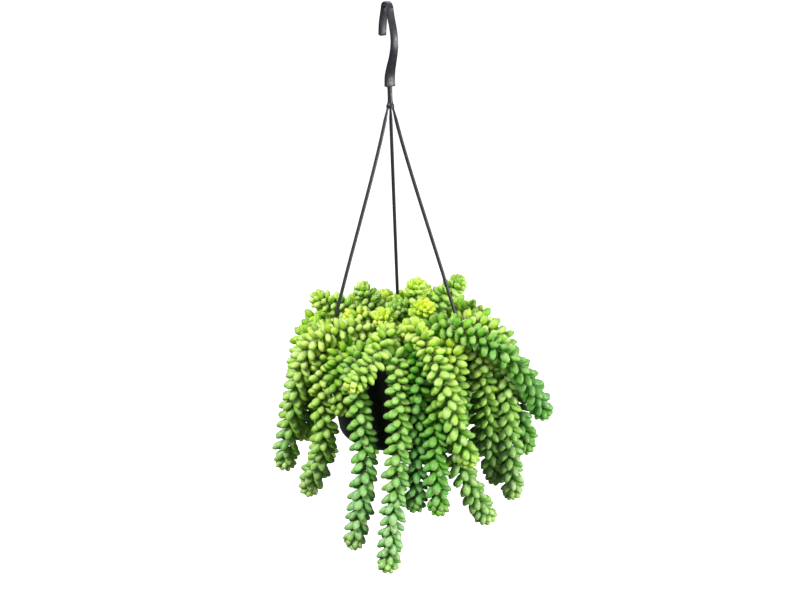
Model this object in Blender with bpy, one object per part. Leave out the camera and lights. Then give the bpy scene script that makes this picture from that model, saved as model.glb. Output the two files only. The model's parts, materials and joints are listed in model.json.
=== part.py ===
# Potted burrito sedum in a plastic hanging pot.
# Lengths in this file are millimetres until make_object turns them into metres.
# The origin is the point of the hook that bears on a rail; +Z is up and the front faces -Y.
import math

import bmesh
import bpy
import numpy as np
from mathutils import Vector
from mathutils.bvhtree import BVHTree

METRES = 0.001
GAP = 0.3

# Pot
RIM_TOP = -352.0
POT_HEIGHT = 103.5
RIM_RADIUS = 87.5
RIM_THICK = 3.0
RIM_SKIRT = 10.0
WALL_TOP_RADIUS = 79.0
WALL_FOOT_RADIUS = 65.0
WALL = 2.2
FOOT_RADIUS = 54.0
CORNER_RISE = 11.0
POT_SIDES = 40
DRAIN_HOLES = 6
DRAIN_RING = 34.0
DRAIN_RADIUS = 4.5
DRAIN_SIDES = 8

# Soil
SOIL_DROP = 13.0
SOIL_SIDES = 24
STEM_HOLE_RADIUS = 5.6
STEM_HOLE_DEPTH = 9.0

# Hanger
STRAND_ANGLES = {"strand_left": -61.5, "strand_right": 59.5, "strand_back": 178.5}
STRAND_RADIUS = 1.8
STRAND_SIDES = 8
STRAND_RING = 83.6
KNOB_RADIUS = 3.6
HOOK_FOOT = -80.0
PIN_RADIUS = 1.3
PIN_LENGTH = 6.0
HUB_TOP = -92.0
HUB_BOTTOM = -102.0
HUB_RADIUS = 4.1
NECK_RADIUS = 2.5
SOCKET_RING = 2.1
SOCKET_DEPTH = 3.2
STRAND_END_RADIUS = 1.2
# How far a strand bows toward the middle, at shares of its length from the hub
STRAND_BOW = [(0.14, 1.4), (0.3, 1.7), (0.5, 1.0), (0.68, 0.3)]

# Hook
HOOK_TURN = -62.0
HOOK_THICK = 4.6
HOOK_BEND = 5.8
BEND_SHIFT = -1.0
RIB = 1.1
GROOVE = 0.9

# Leafy stems
LEAVES_ROUND = 3
RING_STEP = 12.0
CORE_RADIUS = 4.5
BARE_RADIUS = 3.2
LEAF_REACH = 14.8
LEAF_LEAN = 10.5
LEAF_HALF_WIDTH = 5.2
BARE_LENGTH = 20.0
TIP_LENGTH = 20.0
TIP_SHARE = 0.6
STEM_SPACING = 21.0
WALL_CLEARANCE = 15.0
RELAX_ROUNDS = 90

# Hanging stems: root radius, then angle and height over the rim of the crest, radius and angle
# half-way down, and radius, angle and drop below the rim of the tip. Angles turn from the front to the right.
HANGING = {
    "stem_front_1": (60, -31, 17, 99, -21.5, 96, -32.5, 203),
    "stem_front_2": (33, -5, 42, 106, -18, 112, -26, 11),
    "stem_front_3": (60, 7, 17, 98, -2.5, 96, -10, 225),
    "stem_front_4": (49, 14, 17, 88, 13, 86, 9.5, 160),
    "stem_front_5": (60, 23, 18, 101, 20, 100, 23.5, 161),
    "stem_front_6": (33, 14, 44, 116, 27, 119, 37, 103),
    "stem_front_7": (60, 37, 17, 99, 34, 106, 61.5, 191),
    "stem_front_8": (50, -41, 12, 96, -42, 94, -44, 54),
    "stem_left_1": (60, -51, 17, 99, -49, 103, -79, 166),
    "stem_left_2": (40, -71, 28, 104, -79, 112, -86, 96),
    "stem_left_3": (30, -42, 38, 110, -71, 127, -80, 136),
    "stem_left_4": (60, -80, 17, 98, -90, 105, -96, 118),
    "stem_right_1": (60, 52, 18, 100, 66, 105, 84, 164),
    "stem_right_2": (40, 72, 34, 117, 71, 124, 77, 176),
    "stem_right_3": (60, 86, 18, 101, 93, 112, 98, 172),
    "stem_right_4": (38, 92, 16, 112, 90, 140, 92, 138),
    "stem_right_5": (24, 36, 45, 134, 71, 157, 84, 85),
    "stem_back_1": (60, -104, 16, 98, -114, 99, -124, 164),
    "stem_back_2": (60, -128, 15, 98, -136, 98, -143, 124),
    "stem_back_3": (60, -152, 14, 98, -157, 98, -162, 176),
    "stem_back_4": (60, 171, 14, 98, 175, 98, 178, 139),
    "stem_back_5": (60, 147, 14, 98, 152, 98, 157, 186),
    "stem_back_6": (60, 124, 11, 98, 131, 98, 137, 124),
    "stem_back_7": (60, 102, 16, 98, 110, 100, 117, 158),
    "stem_back_8": (36, -98, 17, 102, -104, 111, -108, 70),
    "stem_back_9": (36, -130, 12, 112, -132, 121, -134, 100),
    "stem_back_10": (36, -163, 24, 116, -160, 119, -158, 66),
    "stem_back_11": (36, 163, 24, 116, 165, 121, 167, 94),
    "stem_back_12": (36, 132, 11, 112, 136, 117, 140, 142),
    "stem_back_13": (36, 112, 5, 106, 110, 117, 114, 86),
}

# Short stems of the crown: root radius and angle, then radius, angle and height over the rim
# of the middle and of the tip.
CROWN = {
    "crown_left": (22, -84, 50, -84, 45, 90, -88, 50),
    "crown_back_left": (15, -135, 24, -125, 41, 45, -111, 57),
    "crown_front_left": (18, -40, 40, -44, 42, 72, -47, 34),
    "crown_front": (14, -14, 30, -12, 42, 58, -15, 42),
    "crown_front_right": (18, 64, 38, 44, 44, 64, 34, 46),
    "crown_top": (3, 100, 12, 80, 40, 27, 82, 69),
    "crown_right": (22, 94, 44, 96, 47, 74, 96, 64),
    "crown_back_right": (20, 140, 36, 138, 32, 66, 134, 30),
    "crown_back": (20, -172, 34, -170, 30, 62, -166, 28),
    "crown_middle": (9, -100, 12, -40, 34, 28, 10, 46),
}


def polar(radius, angle, height):
    turn = math.radians(angle)
    return np.array([radius * math.sin(turn), -radius * math.cos(turn), height])


def unit(vector):
    return vector / np.linalg.norm(vector)


def make_material(name, colour, roughness, metallic=0.0):
    material = bpy.data.materials.new(name)
    material.use_nodes = True
    shader = material.node_tree.nodes["Principled BSDF"]
    shader.inputs["Base Color"].default_value = (*colour, 1.0)
    shader.inputs["Roughness"].default_value = roughness
    shader.inputs["Metallic"].default_value = metallic
    return material


def make_object(name, points, faces, material=None, smooth=False):
    mesh = bpy.data.meshes.new(name)
    mesh.from_pydata((np.asarray(points) * METRES).tolist(), [], [tuple(map(int, face)) for face in faces])
    mesh.update()
    for polygon in mesh.polygons:
        polygon.use_smooth = smooth
    if material:
        mesh.materials.append(material)
    made = bpy.data.objects.new(name, mesh)
    bpy.context.scene.collection.objects.link(made)
    return made


def clear_scene():
    for old in list(bpy.data.objects):
        bpy.data.objects.remove(old)


def lathe(profile, sides, centre=(0.0, 0.0)):
    """Turns a profile of (radius, height) round Z. It starts and ends on the axis."""
    points = []
    rows = []
    for radius, height in profile:
        if radius == 0:
            rows.append([len(points)] * sides)
            points.append((centre[0], centre[1], height))
            continue
        rows.append(list(range(len(points), len(points) + sides)))
        for side in range(sides):
            turn = 2 * math.pi * side / sides
            points.append((centre[0] + radius * math.cos(turn), centre[1] + radius * math.sin(turn), height))
    faces = []
    for low, high in zip(rows, rows[1:]):
        for side in range(sides):
            after = (side + 1) % sides
            corners = [low[side], low[after], high[after], high[side]]
            faces.append(tuple(dict.fromkeys(corners)))
    return points, faces


def sweep(path, sections):
    """Skins a row of closed sections, one for each point of the path, and closes both ends."""
    count = len(sections[0])
    points = [place for section in sections for place in section]
    faces = []
    for row in range(len(path) - 1):
        for side in range(count):
            after = (side + 1) % count
            faces.append((row * count + side, row * count + after, (row + 1) * count + after, (row + 1) * count + side))
    faces.append(tuple(reversed(range(count))))
    faces.append(tuple(range((len(path) - 1) * count, len(path) * count)))
    return points, faces


def cut(target, cutters, union=False):
    """Cuts the cutters out of the target, or joins them to it, and removes them."""
    group = bpy.data.collections.new(target.name + "_cutters")
    bpy.context.scene.collection.children.link(group)
    for cutter in cutters:
        bpy.context.scene.collection.objects.unlink(cutter)
        group.objects.link(cutter)
    boolean = target.modifiers.new("cut", "BOOLEAN")
    boolean.operation = "UNION" if union else "DIFFERENCE"
    boolean.operand_type = "COLLECTION"
    boolean.collection = group
    boolean.solver = "EXACT"
    bpy.context.view_layer.objects.active = target
    bpy.ops.object.modifier_apply(modifier=boolean.name)
    for cutter in cutters:
        bpy.data.objects.remove(cutter)
    bpy.data.collections.remove(group)


def prism(name, radius, sides, low, high):
    """A straight bar between two points."""
    low = np.asarray(low, float)
    high = np.asarray(high, float)
    along = unit(high - low)
    across = unit(np.cross(along, (0.0, 1.0, 0.0) if abs(along[1]) < 0.9 else (1.0, 0.0, 0.0)))
    beside = np.cross(along, across)
    sections = []
    for end in (low, high):
        turns = [2 * math.pi * side / sides for side in range(sides)]
        sections.append([end + radius * (math.cos(turn) * across + math.sin(turn) * beside) for turn in turns])
    points, faces = sweep([low, high], sections)
    return make_object(name, points, faces)


def wall_radius(height):
    """Outer radius of the pot's wall at this height."""
    top = RIM_TOP
    foot = RIM_TOP - POT_HEIGHT + CORNER_RISE
    share = np.clip((height - foot) / (top - foot), 0.0, 1.0)
    return WALL_FOOT_RADIUS + (WALL_TOP_RADIUS - WALL_FOOT_RADIUS) * share


def build_pot(material):
    base = RIM_TOP - POT_HEIGHT
    foot = base + CORNER_RISE
    under_rim = RIM_TOP - RIM_SKIRT
    inside_foot = foot + 1.0
    profile = [
        (0.0, base),
        (FOOT_RADIUS, base),
        (FOOT_RADIUS + 8.0, base + 3.4),
        (WALL_FOOT_RADIUS, foot),
        (wall_radius(under_rim), under_rim),
        (wall_radius(RIM_TOP) + 0.4, RIM_TOP - RIM_THICK),
        (RIM_RADIUS - 0.6, RIM_TOP - RIM_THICK),
        (RIM_RADIUS, RIM_TOP - 1.2),
        (RIM_RADIUS - 1.0, RIM_TOP),
        (wall_radius(RIM_TOP) - WALL, RIM_TOP),
        (WALL_FOOT_RADIUS - WALL, inside_foot),
        (FOOT_RADIUS, base + WALL + 1.4),
        (0.0, base + WALL),
    ]
    points, faces = lathe(profile, POT_SIDES)
    pot = make_object("pot", points, faces, material, smooth=True)
    holes = []
    for name, angle in STRAND_ANGLES.items():
        low = polar(STRAND_RING, angle, RIM_TOP - RIM_THICK - 3.0)
        high = polar(STRAND_RING, angle, RIM_TOP + 3.0)
        holes.append(prism("hole", STRAND_RADIUS + 0.7, STRAND_SIDES, low, high))
    for number in range(DRAIN_HOLES):
        angle = 360.0 * (number + 0.5) / DRAIN_HOLES
        low = polar(DRAIN_RING, angle, base - 3.0)
        high = polar(DRAIN_RING, angle, base + WALL + 3.0)
        holes.append(prism("hole", DRAIN_RADIUS, DRAIN_SIDES, low, high))
    cut(pot, holes)
    return pot


def build_soil(material, roots):
    top = RIM_TOP - SOIL_DROP
    base = RIM_TOP - POT_HEIGHT
    inside_foot = base + CORNER_RISE + 1.0
    side = WALL + GAP + 0.4
    profile = [
        (0.0, base + WALL + GAP + 0.2),
        (FOOT_RADIUS - 1.0, base + WALL + 1.4 + GAP + 0.2),
        (WALL_FOOT_RADIUS - side, inside_foot + 0.6),
        (wall_radius(top) - side, top - 1.5),
        (wall_radius(top) - side - 6.0, top + 0.6),
        (0.0, top),
    ]
    points, faces = lathe(profile, SOIL_SIDES)
    soil = make_object("soil", points, faces, material, smooth=False)
    holes = []
    for root in roots:
        low = (root[0], root[1], top - STEM_HOLE_DEPTH)
        high = (root[0], root[1], top + 8.0)
        holes.append(prism("hole", STEM_HOLE_RADIUS, 4, low, high))
    cut(soil, holes)
    return soil


def hook_line():
    """Centre line of the hook in its own plane, as (sideways, height, width of the strap)."""
    top = HOOK_THICK / 2
    line = [(-13.0, -30.5, 7.4), (-11.8, -22.0, 7.6), (-10.0, -14.0, 7.4)]
    for turn in range(180, -1, -30):
        angle = math.radians(turn)
        line.append((HOOK_BEND * math.cos(angle) + BEND_SHIFT, top - HOOK_BEND + HOOK_BEND * math.sin(angle), 6.8))
    line += [
        (7.2, -12.0, 6.8),
        (10.4, -21.0, 6.8),
        (12.3, -31.0, 7.0),
        (11.6, -40.0, 7.4),
        (8.0, -51.0, 8.0),
        (3.6, -61.0, 9.2),
        (0.8, -70.0, 10.4),
        (0.2, HOOK_FOOT, 10.8),
    ]
    return line


def build_hook(material):
    turn = math.radians(HOOK_TURN)
    side = np.array([math.cos(turn), math.sin(turn), 0.0])
    face = np.array([math.sin(turn), -math.cos(turn), 0.0])
    line = hook_line()
    path = [side * row[0] + np.array([0.0, 0.0, row[1]]) for row in line]
    sections = []
    for index, place in enumerate(path):
        before = path[max(index - 1, 0)]
        after = path[min(index + 1, len(path) - 1)]
        along = unit(after - before)
        out = np.cross(along, face)
        half = HOOK_THICK / 2
        deep = line[index][2] / 2
        outline = [
            (-half, -deep + RIB / 2),
            (-half + RIB, -deep),
            (0.0, -deep + GROOVE),
            (half - RIB, -deep),
            (half, -deep + RIB / 2),
            (half, deep - RIB / 2),
            (half - RIB, deep),
            (0.0, deep - GROOVE),
            (-half + RIB, deep),
            (-half, deep - RIB / 2),
        ]
        sections.append([place + out * a + face * b for a, b in outline])
    points, faces = sweep(path, sections)
    hook = make_object("hook", points, faces, material)
    fix_normals(hook)
    socket = prism("hole", PIN_RADIUS + GAP, STRAND_SIDES, (0.0, 0.0, HOOK_FOOT - 5.0), (0.0, 0.0, HOOK_FOOT + PIN_LENGTH))
    cut(hook, [socket])
    return hook


def fix_normals(made):
    work = bmesh.new()
    work.from_mesh(made.data)
    bmesh.ops.recalc_face_normals(work, faces=work.faces)
    work.to_mesh(made.data)
    work.free()


def strand_top(angle):
    return polar(SOCKET_RING, angle, HUB_BOTTOM + SOCKET_DEPTH - GAP)


def strand_foot(angle):
    return polar(STRAND_RING, angle, RIM_TOP + 2.0)


def build_neck(material):
    profile = [
        (0.0, HUB_BOTTOM),
        (HUB_RADIUS - 0.4, HUB_BOTTOM),
        (HUB_RADIUS, HUB_BOTTOM + 0.6),
        (HUB_RADIUS, HUB_BOTTOM + SOCKET_DEPTH),
        (NECK_RADIUS + 0.6, HUB_TOP - 4.0),
        (NECK_RADIUS, HUB_TOP),
        (NECK_RADIUS, HOOK_FOOT - GAP),
        (PIN_RADIUS, HOOK_FOOT - GAP),
        (PIN_RADIUS, HOOK_FOOT + PIN_LENGTH - GAP),
        (0.0, HOOK_FOOT + PIN_LENGTH - GAP),
    ]
    points, faces = lathe(profile, 12)
    neck = make_object("hanger_neck", points, faces, material, smooth=True)
    holes = []
    for angle in STRAND_ANGLES.values():
        inward = unit(strand_top(angle) - strand_foot(angle))
        high = strand_top(angle) + inward * GAP * 2
        holes.append(prism("hole", STRAND_END_RADIUS + GAP, STRAND_SIDES, high - inward * 9.0, high))
    cut(neck, holes)
    return neck


def build_strand(name, angle, material):
    """One strand with a slight bow, its end bent down through the rim and thickened under it."""
    top = strand_top(angle)
    foot = strand_foot(angle)
    down = np.array([0.0, 0.0, -1.0])
    slant = unit(foot - top)
    outward = polar(1.0, angle, 0.0)
    stations = [(top, slant, STRAND_END_RADIUS), (top + slant * 6.0, slant, STRAND_END_RADIUS)]
    for share, bow in STRAND_BOW:
        stations.append((top + (foot - top) * share - outward * bow, slant, STRAND_RADIUS))
    stations += [
        (foot - slant * 4.0, slant, STRAND_RADIUS),
        (polar(STRAND_RING, angle, RIM_TOP + 1.0), down, STRAND_RADIUS),
        (polar(STRAND_RING, angle, RIM_TOP - RIM_THICK - GAP), down, STRAND_RADIUS),
        (polar(STRAND_RING, angle, RIM_TOP - RIM_THICK - GAP - 0.2), down, KNOB_RADIUS * 0.8),
        (polar(STRAND_RING, angle, RIM_TOP - RIM_THICK - 2.6), down, KNOB_RADIUS * 0.8),
        (polar(STRAND_RING, angle, RIM_TOP - RIM_THICK - 4.2), down, STRAND_RADIUS),
    ]
    beside = polar(1.0, angle + 90.0, 0.0)
    sections = []
    for place, along, radius in stations:
        across = np.cross(along, beside)
        turns = [2 * math.pi * (side + 0.5) / STRAND_SIDES for side in range(STRAND_SIDES)]
        sections.append([place + radius * (math.cos(turn) * across + math.sin(turn) * beside) for turn in turns])
    points, faces = sweep([row[0] for row in stations], sections)
    strand = make_object(name, points, faces, material, smooth=True)
    fix_normals(strand)
    return strand


def hanging_way(row):
    """Points that a hanging stem passes: up out of the soil, over the rim and down to its tip."""
    root_radius, angle, crest, reach, mid_angle, tip_radius, tip_angle, drop = row
    soil = RIM_TOP - SOIL_DROP
    low = RIM_TOP - drop
    crest_radius = 0.5 * (root_radius + reach) + 6.0
    shoulder = RIM_TOP + crest * 0.55 - 10.0
    middle = 0.5 * (shoulder + low)
    return [
        polar(root_radius, angle, soil - STEM_HOLE_DEPTH + 1.0),
        polar(root_radius, angle, soil + 4.0),
        polar(root_radius * 0.72 + crest_radius * 0.28, angle, soil + 0.72 * (crest + SOIL_DROP)),
        polar(crest_radius, angle, RIM_TOP + crest),
        polar(reach, 0.5 * (angle + mid_angle), shoulder),
        polar(0.5 * (reach + tip_radius), mid_angle, middle),
        polar(tip_radius, tip_angle, low),
    ]


def crown_way(row):
    root_radius, root_angle, mid_radius, mid_angle, mid_rise, tip_radius, tip_angle, tip_rise = row
    soil = RIM_TOP - SOIL_DROP
    return [
        polar(root_radius, root_angle, soil - STEM_HOLE_DEPTH + 1.0),
        polar(root_radius, root_angle, soil + 6.0),
        polar(mid_radius, mid_angle, RIM_TOP + mid_rise),
        polar(tip_radius, tip_angle, RIM_TOP + tip_rise),
    ]


def smooth_line(way, step):
    """A soft curve through the points, cut into equal steps."""
    way = np.asarray(way)
    ends = np.vstack([2 * way[0] - way[1], way, 2 * way[-1] - way[-2]])
    dense = []
    for index in range(1, len(ends) - 2):
        before, here, after, later = ends[index - 1 : index + 3]
        for share in np.arange(0.0, 1.0, 0.05):
            dense.append(
                0.5
                * (
                    2 * here
                    + (after - before) * share
                    + (2 * before - 5 * here + 4 * after - later) * share**2
                    + (3 * here - before - 3 * after + later) * share**3
                )
            )
    dense.append(way[-1])
    return even_steps(np.array(dense), step)


def even_steps(line, step):
    runs = np.concatenate([[0.0], np.cumsum(np.linalg.norm(np.diff(line, axis=0), axis=1))])
    count = max(4, int(round(runs[-1] / step)))
    marks = np.linspace(0.0, runs[-1], count + 1)
    return np.stack([np.interp(marks, runs, line[:, axis]) for axis in range(3)], axis=1)


def strand_lines():
    return [(strand_top(angle), strand_foot(angle)) for angle in STRAND_ANGLES.values()]


def keep_clear(points, sizes):
    """Moves that hold stem points off the pot, the soil and the strands."""
    move = np.zeros_like(points)
    radius = np.hypot(points[:, 0], points[:, 1])
    outward = points * [1.0, 1.0, 0.0] / np.maximum(radius, 1e-6)[:, None]
    below = points[:, 2] < RIM_TOP + 2.0
    outside = radius > WALL_TOP_RADIUS - 4.0
    wanted = np.where(points[:, 2] > RIM_TOP - 24.0, RIM_RADIUS + 11.5, wall_radius(points[:, 2]) + WALL_CLEARANCE)
    short = np.where(below & outside, np.maximum(wanted - radius, 0.0), 0.0)
    move += outward * short[:, None]
    over = ~below & (radius > 66.0) & (radius < 98.0)
    low = np.where(over, np.maximum(RIM_TOP + 14.5 - points[:, 2], 0.0), 0.0)
    move[:, 2] += low
    inside = radius < 68.0
    floor = RIM_TOP - SOIL_DROP + 1.0 + sizes
    move[:, 2] += np.where(inside & (sizes > 6.0), np.maximum(floor - points[:, 2], 0.0), 0.0)
    for top, foot in strand_lines():
        along = foot - top
        share = np.clip(((points - top) @ along) / (along @ along), 0.0, 1.0)
        away = points - (top + share[:, None] * along)
        far = np.linalg.norm(away, axis=1)
        lack = np.maximum(sizes * 0.8 + STRAND_RADIUS - far, 0.0)
        move += away / np.maximum(far, 1e-6)[:, None] * lack[:, None]
    return move


def relax(lines):
    """Spreads the stems until none runs through another, the pot or a strand."""
    owner = np.concatenate([np.full(len(line), index) for index, line in enumerate(lines)])
    points = np.concatenate(lines)
    start = points.copy()
    steps = np.concatenate([np.arange(len(line)) for line in lines])
    sizes = np.interp(steps * RING_STEP, [0.0, BARE_LENGTH * 0.6, BARE_LENGTH * 1.4], [4.0, 5.0, STEM_SPACING / 2])
    held = steps < 2
    inner = np.zeros(len(points), bool)
    inner[1:-1] = (owner[:-2] == owner[1:-1]) & (owner[2:] == owner[1:-1])
    for turn in range(RELAX_ROUNDS):
        apart = points[:, None] - points[None]
        far = np.linalg.norm(apart, axis=2)
        lack = sizes[:, None] + sizes[None] - far
        lack[owner[:, None] == owner[None]] = 0.0
        lack = np.maximum(lack, 0.0)
        move = (apart / np.maximum(far, 1e-6)[..., None] * (0.3 * lack)[..., None]).sum(axis=1)
        size = np.linalg.norm(move, axis=1)
        move *= np.minimum(1.0, 4.0 / np.maximum(size, 1e-6))[:, None]
        move += 0.04 * (start - points)
        bend = np.zeros_like(points)
        bend[1:-1] = 0.5 * (points[:-2] + points[2:]) - points[1:-1]
        move += np.where(inner[:, None], 0.2 * bend, 0.0)
        points = points + np.where(held[:, None], 0.0, move)
        points = points + np.where(held[:, None], 0.0, keep_clear(points, sizes))
    return [points[owner == index] for index in range(len(lines))]


def turning_frames(line):
    """Directions along and across a line, turned as little as the line allows."""
    along = np.gradient(line, axis=0)
    along /= np.linalg.norm(along, axis=1)[:, None]
    across = np.zeros_like(line)
    first = np.array([1.0, 0.0, 0.0])
    across[0] = unit(first - along[0] * (first @ along[0]))
    for index in range(1, len(line)):
        across[index] = unit(across[index - 1] - along[index] * (across[index - 1] @ along[index]))
    return along, across, np.cross(along, across)


def stem_sizes(line):
    """For each ring: radius of the core, reach of the leaves and their lean toward the tip."""
    count = len(line)
    runs = np.arange(count) * np.linalg.norm(line[1] - line[0])
    left = runs[-1] - runs
    taper = np.clip((left - 2.0) / TIP_LENGTH, 0.0, 1.0) ** 0.6
    leafy = np.clip((runs - BARE_LENGTH) / 12.0, 0.0, 1.0)
    core = np.where(leafy > 0, CORE_RADIUS, BARE_RADIUS) * (0.35 + 0.65 * taper)
    reach = leafy * LEAF_REACH * (TIP_SHARE + (1 - TIP_SHARE) * taper)
    lean = LEAF_LEAN * (1.4 - 0.4 * taper)
    return core, reach, lean


class Stem:
    """A stem's skin: rings of three corners, with a leaf raised over each corner-to-corner diamond."""

    def __init__(self, name, line, clear):
        self.name = name
        self.line = line
        self.points = []
        self.faces = []
        self.leaves = []
        self.face_leaf = []
        along, across, beside = turning_frames(line)
        core, reach, lean = stem_sizes(line)
        rings = self.lay_rings(along, across, beside, core)
        for ring in range(1, len(line) - 1):
            for side in range(LEAVES_ROUND):
                corners = self.diamond(rings, ring, side)
                turn = self.turn_of(ring, side + 0.5)
                out = math.cos(turn) * across[ring] + math.sin(turn) * beside[ring]
                wide = -math.sin(turn) * across[ring] + math.cos(turn) * beside[ring]
                if reach[ring] < core[ring] + 1.0:
                    self.plain_diamond(corners)
                    continue
                length = clear(line[ring], out, along[ring] * lean[ring], reach[ring])
                self.raise_leaf(corners, line[ring], out, wide, along[ring] * lean[ring], length, core[ring])
        self.close_ends(rings, line, along, core)

    def turn_of(self, ring, side):
        return 2 * math.pi * side / LEAVES_ROUND + (ring % 2) * math.pi / LEAVES_ROUND

    def lay_rings(self, along, across, beside, core):
        rings = []
        for ring, centre in enumerate(self.line):
            row = []
            for side in range(LEAVES_ROUND):
                turn = self.turn_of(ring, side)
                row.append(len(self.points))
                out = math.cos(turn) * across[ring] + math.sin(turn) * beside[ring]
                self.points.append(centre + core[ring] * out)
            rings.append(row)
        return rings

    def diamond(self, rings, ring, side):
        after = (side + 1) % LEAVES_ROUND
        middle = side if ring % 2 == 0 else after
        return rings[ring - 1][middle], rings[ring][side], rings[ring][after], rings[ring + 1][middle]

    def add_faces(self, faces, leaf):
        self.faces += faces
        self.face_leaf += [leaf] * len(faces)

    def plain_diamond(self, corners):
        upper, left, right, lower = corners
        self.add_faces([(upper, right, left), (left, right, lower)], -1)

    def raise_leaf(self, corners, centre, out, wide, lean, length, core):
        upper, left, right, lower = corners
        first = len(self.points)
        leaf = len(self.leaves)
        half = LEAF_HALF_WIDTH * min(1.0, length / 11.0)
        shoulder = centre + out * length * 0.76 + lean * 0.35
        self.points += [shoulder - wide * half, shoulder + wide * half, centre + out * length + lean]
        self.leaves.append((first, centre + out * core * 0.6))
        near, away, tip = first, first + 1, first + 2
        self.add_faces(
            [
                (upper, near, left),
                (upper, away, near),
                (upper, right, away),
                (near, away, tip),
                (left, near, lower),
                (lower, near, tip),
                (lower, tip, away),
                (lower, away, right),
            ],
            leaf,
        )

    def close_ends(self, rings, line, along, core):
        last = len(line) - 1
        root = len(self.points)
        self.points += [line[0] - along[0] * 0.5, line[last] + along[last] * 2.5]
        for side in range(LEAVES_ROUND):
            after = (side + 1) % LEAVES_ROUND
            middle = rings[1][side]
            self.add_faces([(rings[0][side], rings[0][after], middle)], -1)
            self.add_faces([(rings[0][after], rings[0][side], root)], -1)
            inner = rings[last - 1][side if last % 2 == 0 else after]
            self.add_faces([(rings[last][side], inner, rings[last][after])], -1)
            self.add_faces([(rings[last][side], rings[last][after], root + 1)], -1)

    def tree(self):
        return BVHTree.FromPolygons([Vector(point) for point in self.points], self.faces)

    def shrink(self, leaf, share):
        first, base = self.leaves[leaf]
        for index in range(first, first + 3):
            self.points[index] = base + (self.points[index] - base) * share


def free_length(lines, mine):
    """A test for how far a leaf may reach from a stem before it meets a neighbour's side."""
    others = np.concatenate([line[1:] for index, line in enumerate(lines) if index != mine])

    def clear(centre, out, lean, reach):
        for share in (1.0, 0.9, 0.8, 0.7, 0.6, 0.5, 0.42):
            tip = centre + out * reach * share + lean
            own = np.linalg.norm(tip - centre - lean)
            if np.linalg.norm(others - tip, axis=1).min() > own + 0.5:
                return reach * share
        return reach * 0.42

    return clear


def solid_tree(made):
    graph_points = [vertex.co / METRES for vertex in made.data.vertices]
    return BVHTree.FromPolygons(graph_points, [tuple(polygon.vertices) for polygon in made.data.polygons])


def part_stems(stems, solids):
    """Shortens each leaf that cuts into another stem, its own stem, or a solid."""
    fixed = [solid_tree(solid) for solid in solids]
    touched = 0
    for turn in range(24):
        trees = [stem.tree() for stem in stems]
        hits = [set() for stem in stems]
        for index, stem in enumerate(stems):
            for other in range(index + 1, len(stems)):
                for mine, theirs in trees[index].overlap(trees[other]):
                    hits[index].add(stem.face_leaf[mine])
                    hits[other].add(stems[other].face_leaf[theirs])
            for tree in fixed:
                hits[index] |= {stem.face_leaf[mine] for mine, theirs in trees[index].overlap(tree)}
            for mine, theirs in trees[index].overlap(trees[index]):
                if not set(stem.faces[mine]) & set(stem.faces[theirs]):
                    hits[index] |= {stem.face_leaf[mine], stem.face_leaf[theirs]}
        left = 0
        for stem, leaves in zip(stems, hits):
            if -1 in leaves:
                print("bare part of", stem.name, "is touched")
            for leaf in leaves - {-1}:
                stem.shrink(leaf, 0.86)
                left += 1
        touched += left
        if not left:
            break
    print("leaves shortened", touched, "left", left, "rounds", turn + 1)


def build_stems(materials, solids):
    ways = {name: hanging_way(row) for name, row in HANGING.items()}
    ways.update({name: crown_way(row) for name, row in CROWN.items()})
    lines = relax([smooth_line(way, RING_STEP) for way in ways.values()])
    lines = [even_steps(line, RING_STEP) for line in lines]
    stems = []
    for index, name in enumerate(ways):
        stems.append(Stem(name, lines[index], free_length(lines, index)))
    part_stems(stems, solids)
    for stem in stems:
        material = materials["crown"] if stem.name.startswith("crown") else materials["hanging"]
        make_object(stem.name, stem.points, stem.faces, material)
    return stems


def stem_roots():
    roots = [hanging_way(row)[0] for row in HANGING.values()]
    return roots + [crown_way(row)[0] for row in CROWN.values()]


def main():
    clear_scene()
    black = make_material("pot plastic", (0.012, 0.014, 0.013), 0.38)
    dark = make_material("hanger plastic", (0.02, 0.021, 0.021), 0.42)
    earth = make_material("potting soil", (0.045, 0.028, 0.017), 0.95)
    crown = make_material("crown leaves", (0.33, 0.48, 0.07), 0.45)
    hanging = make_material("hanging leaves", (0.22, 0.38, 0.13), 0.5)
    pot = build_pot(black)
    soil = build_soil(earth, stem_roots())
    hook = build_hook(dark)
    neck = build_neck(dark)
    strands = [build_strand(name, angle, dark) for name, angle in STRAND_ANGLES.items()]
    build_stems({"crown": crown, "hanging": hanging}, [pot, soil, hook, neck, *strands])


main()
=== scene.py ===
import json
import math

import bmesh
import bpy
import numpy as np
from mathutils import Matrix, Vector, noise
from mathutils.kdtree import KDTree

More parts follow.
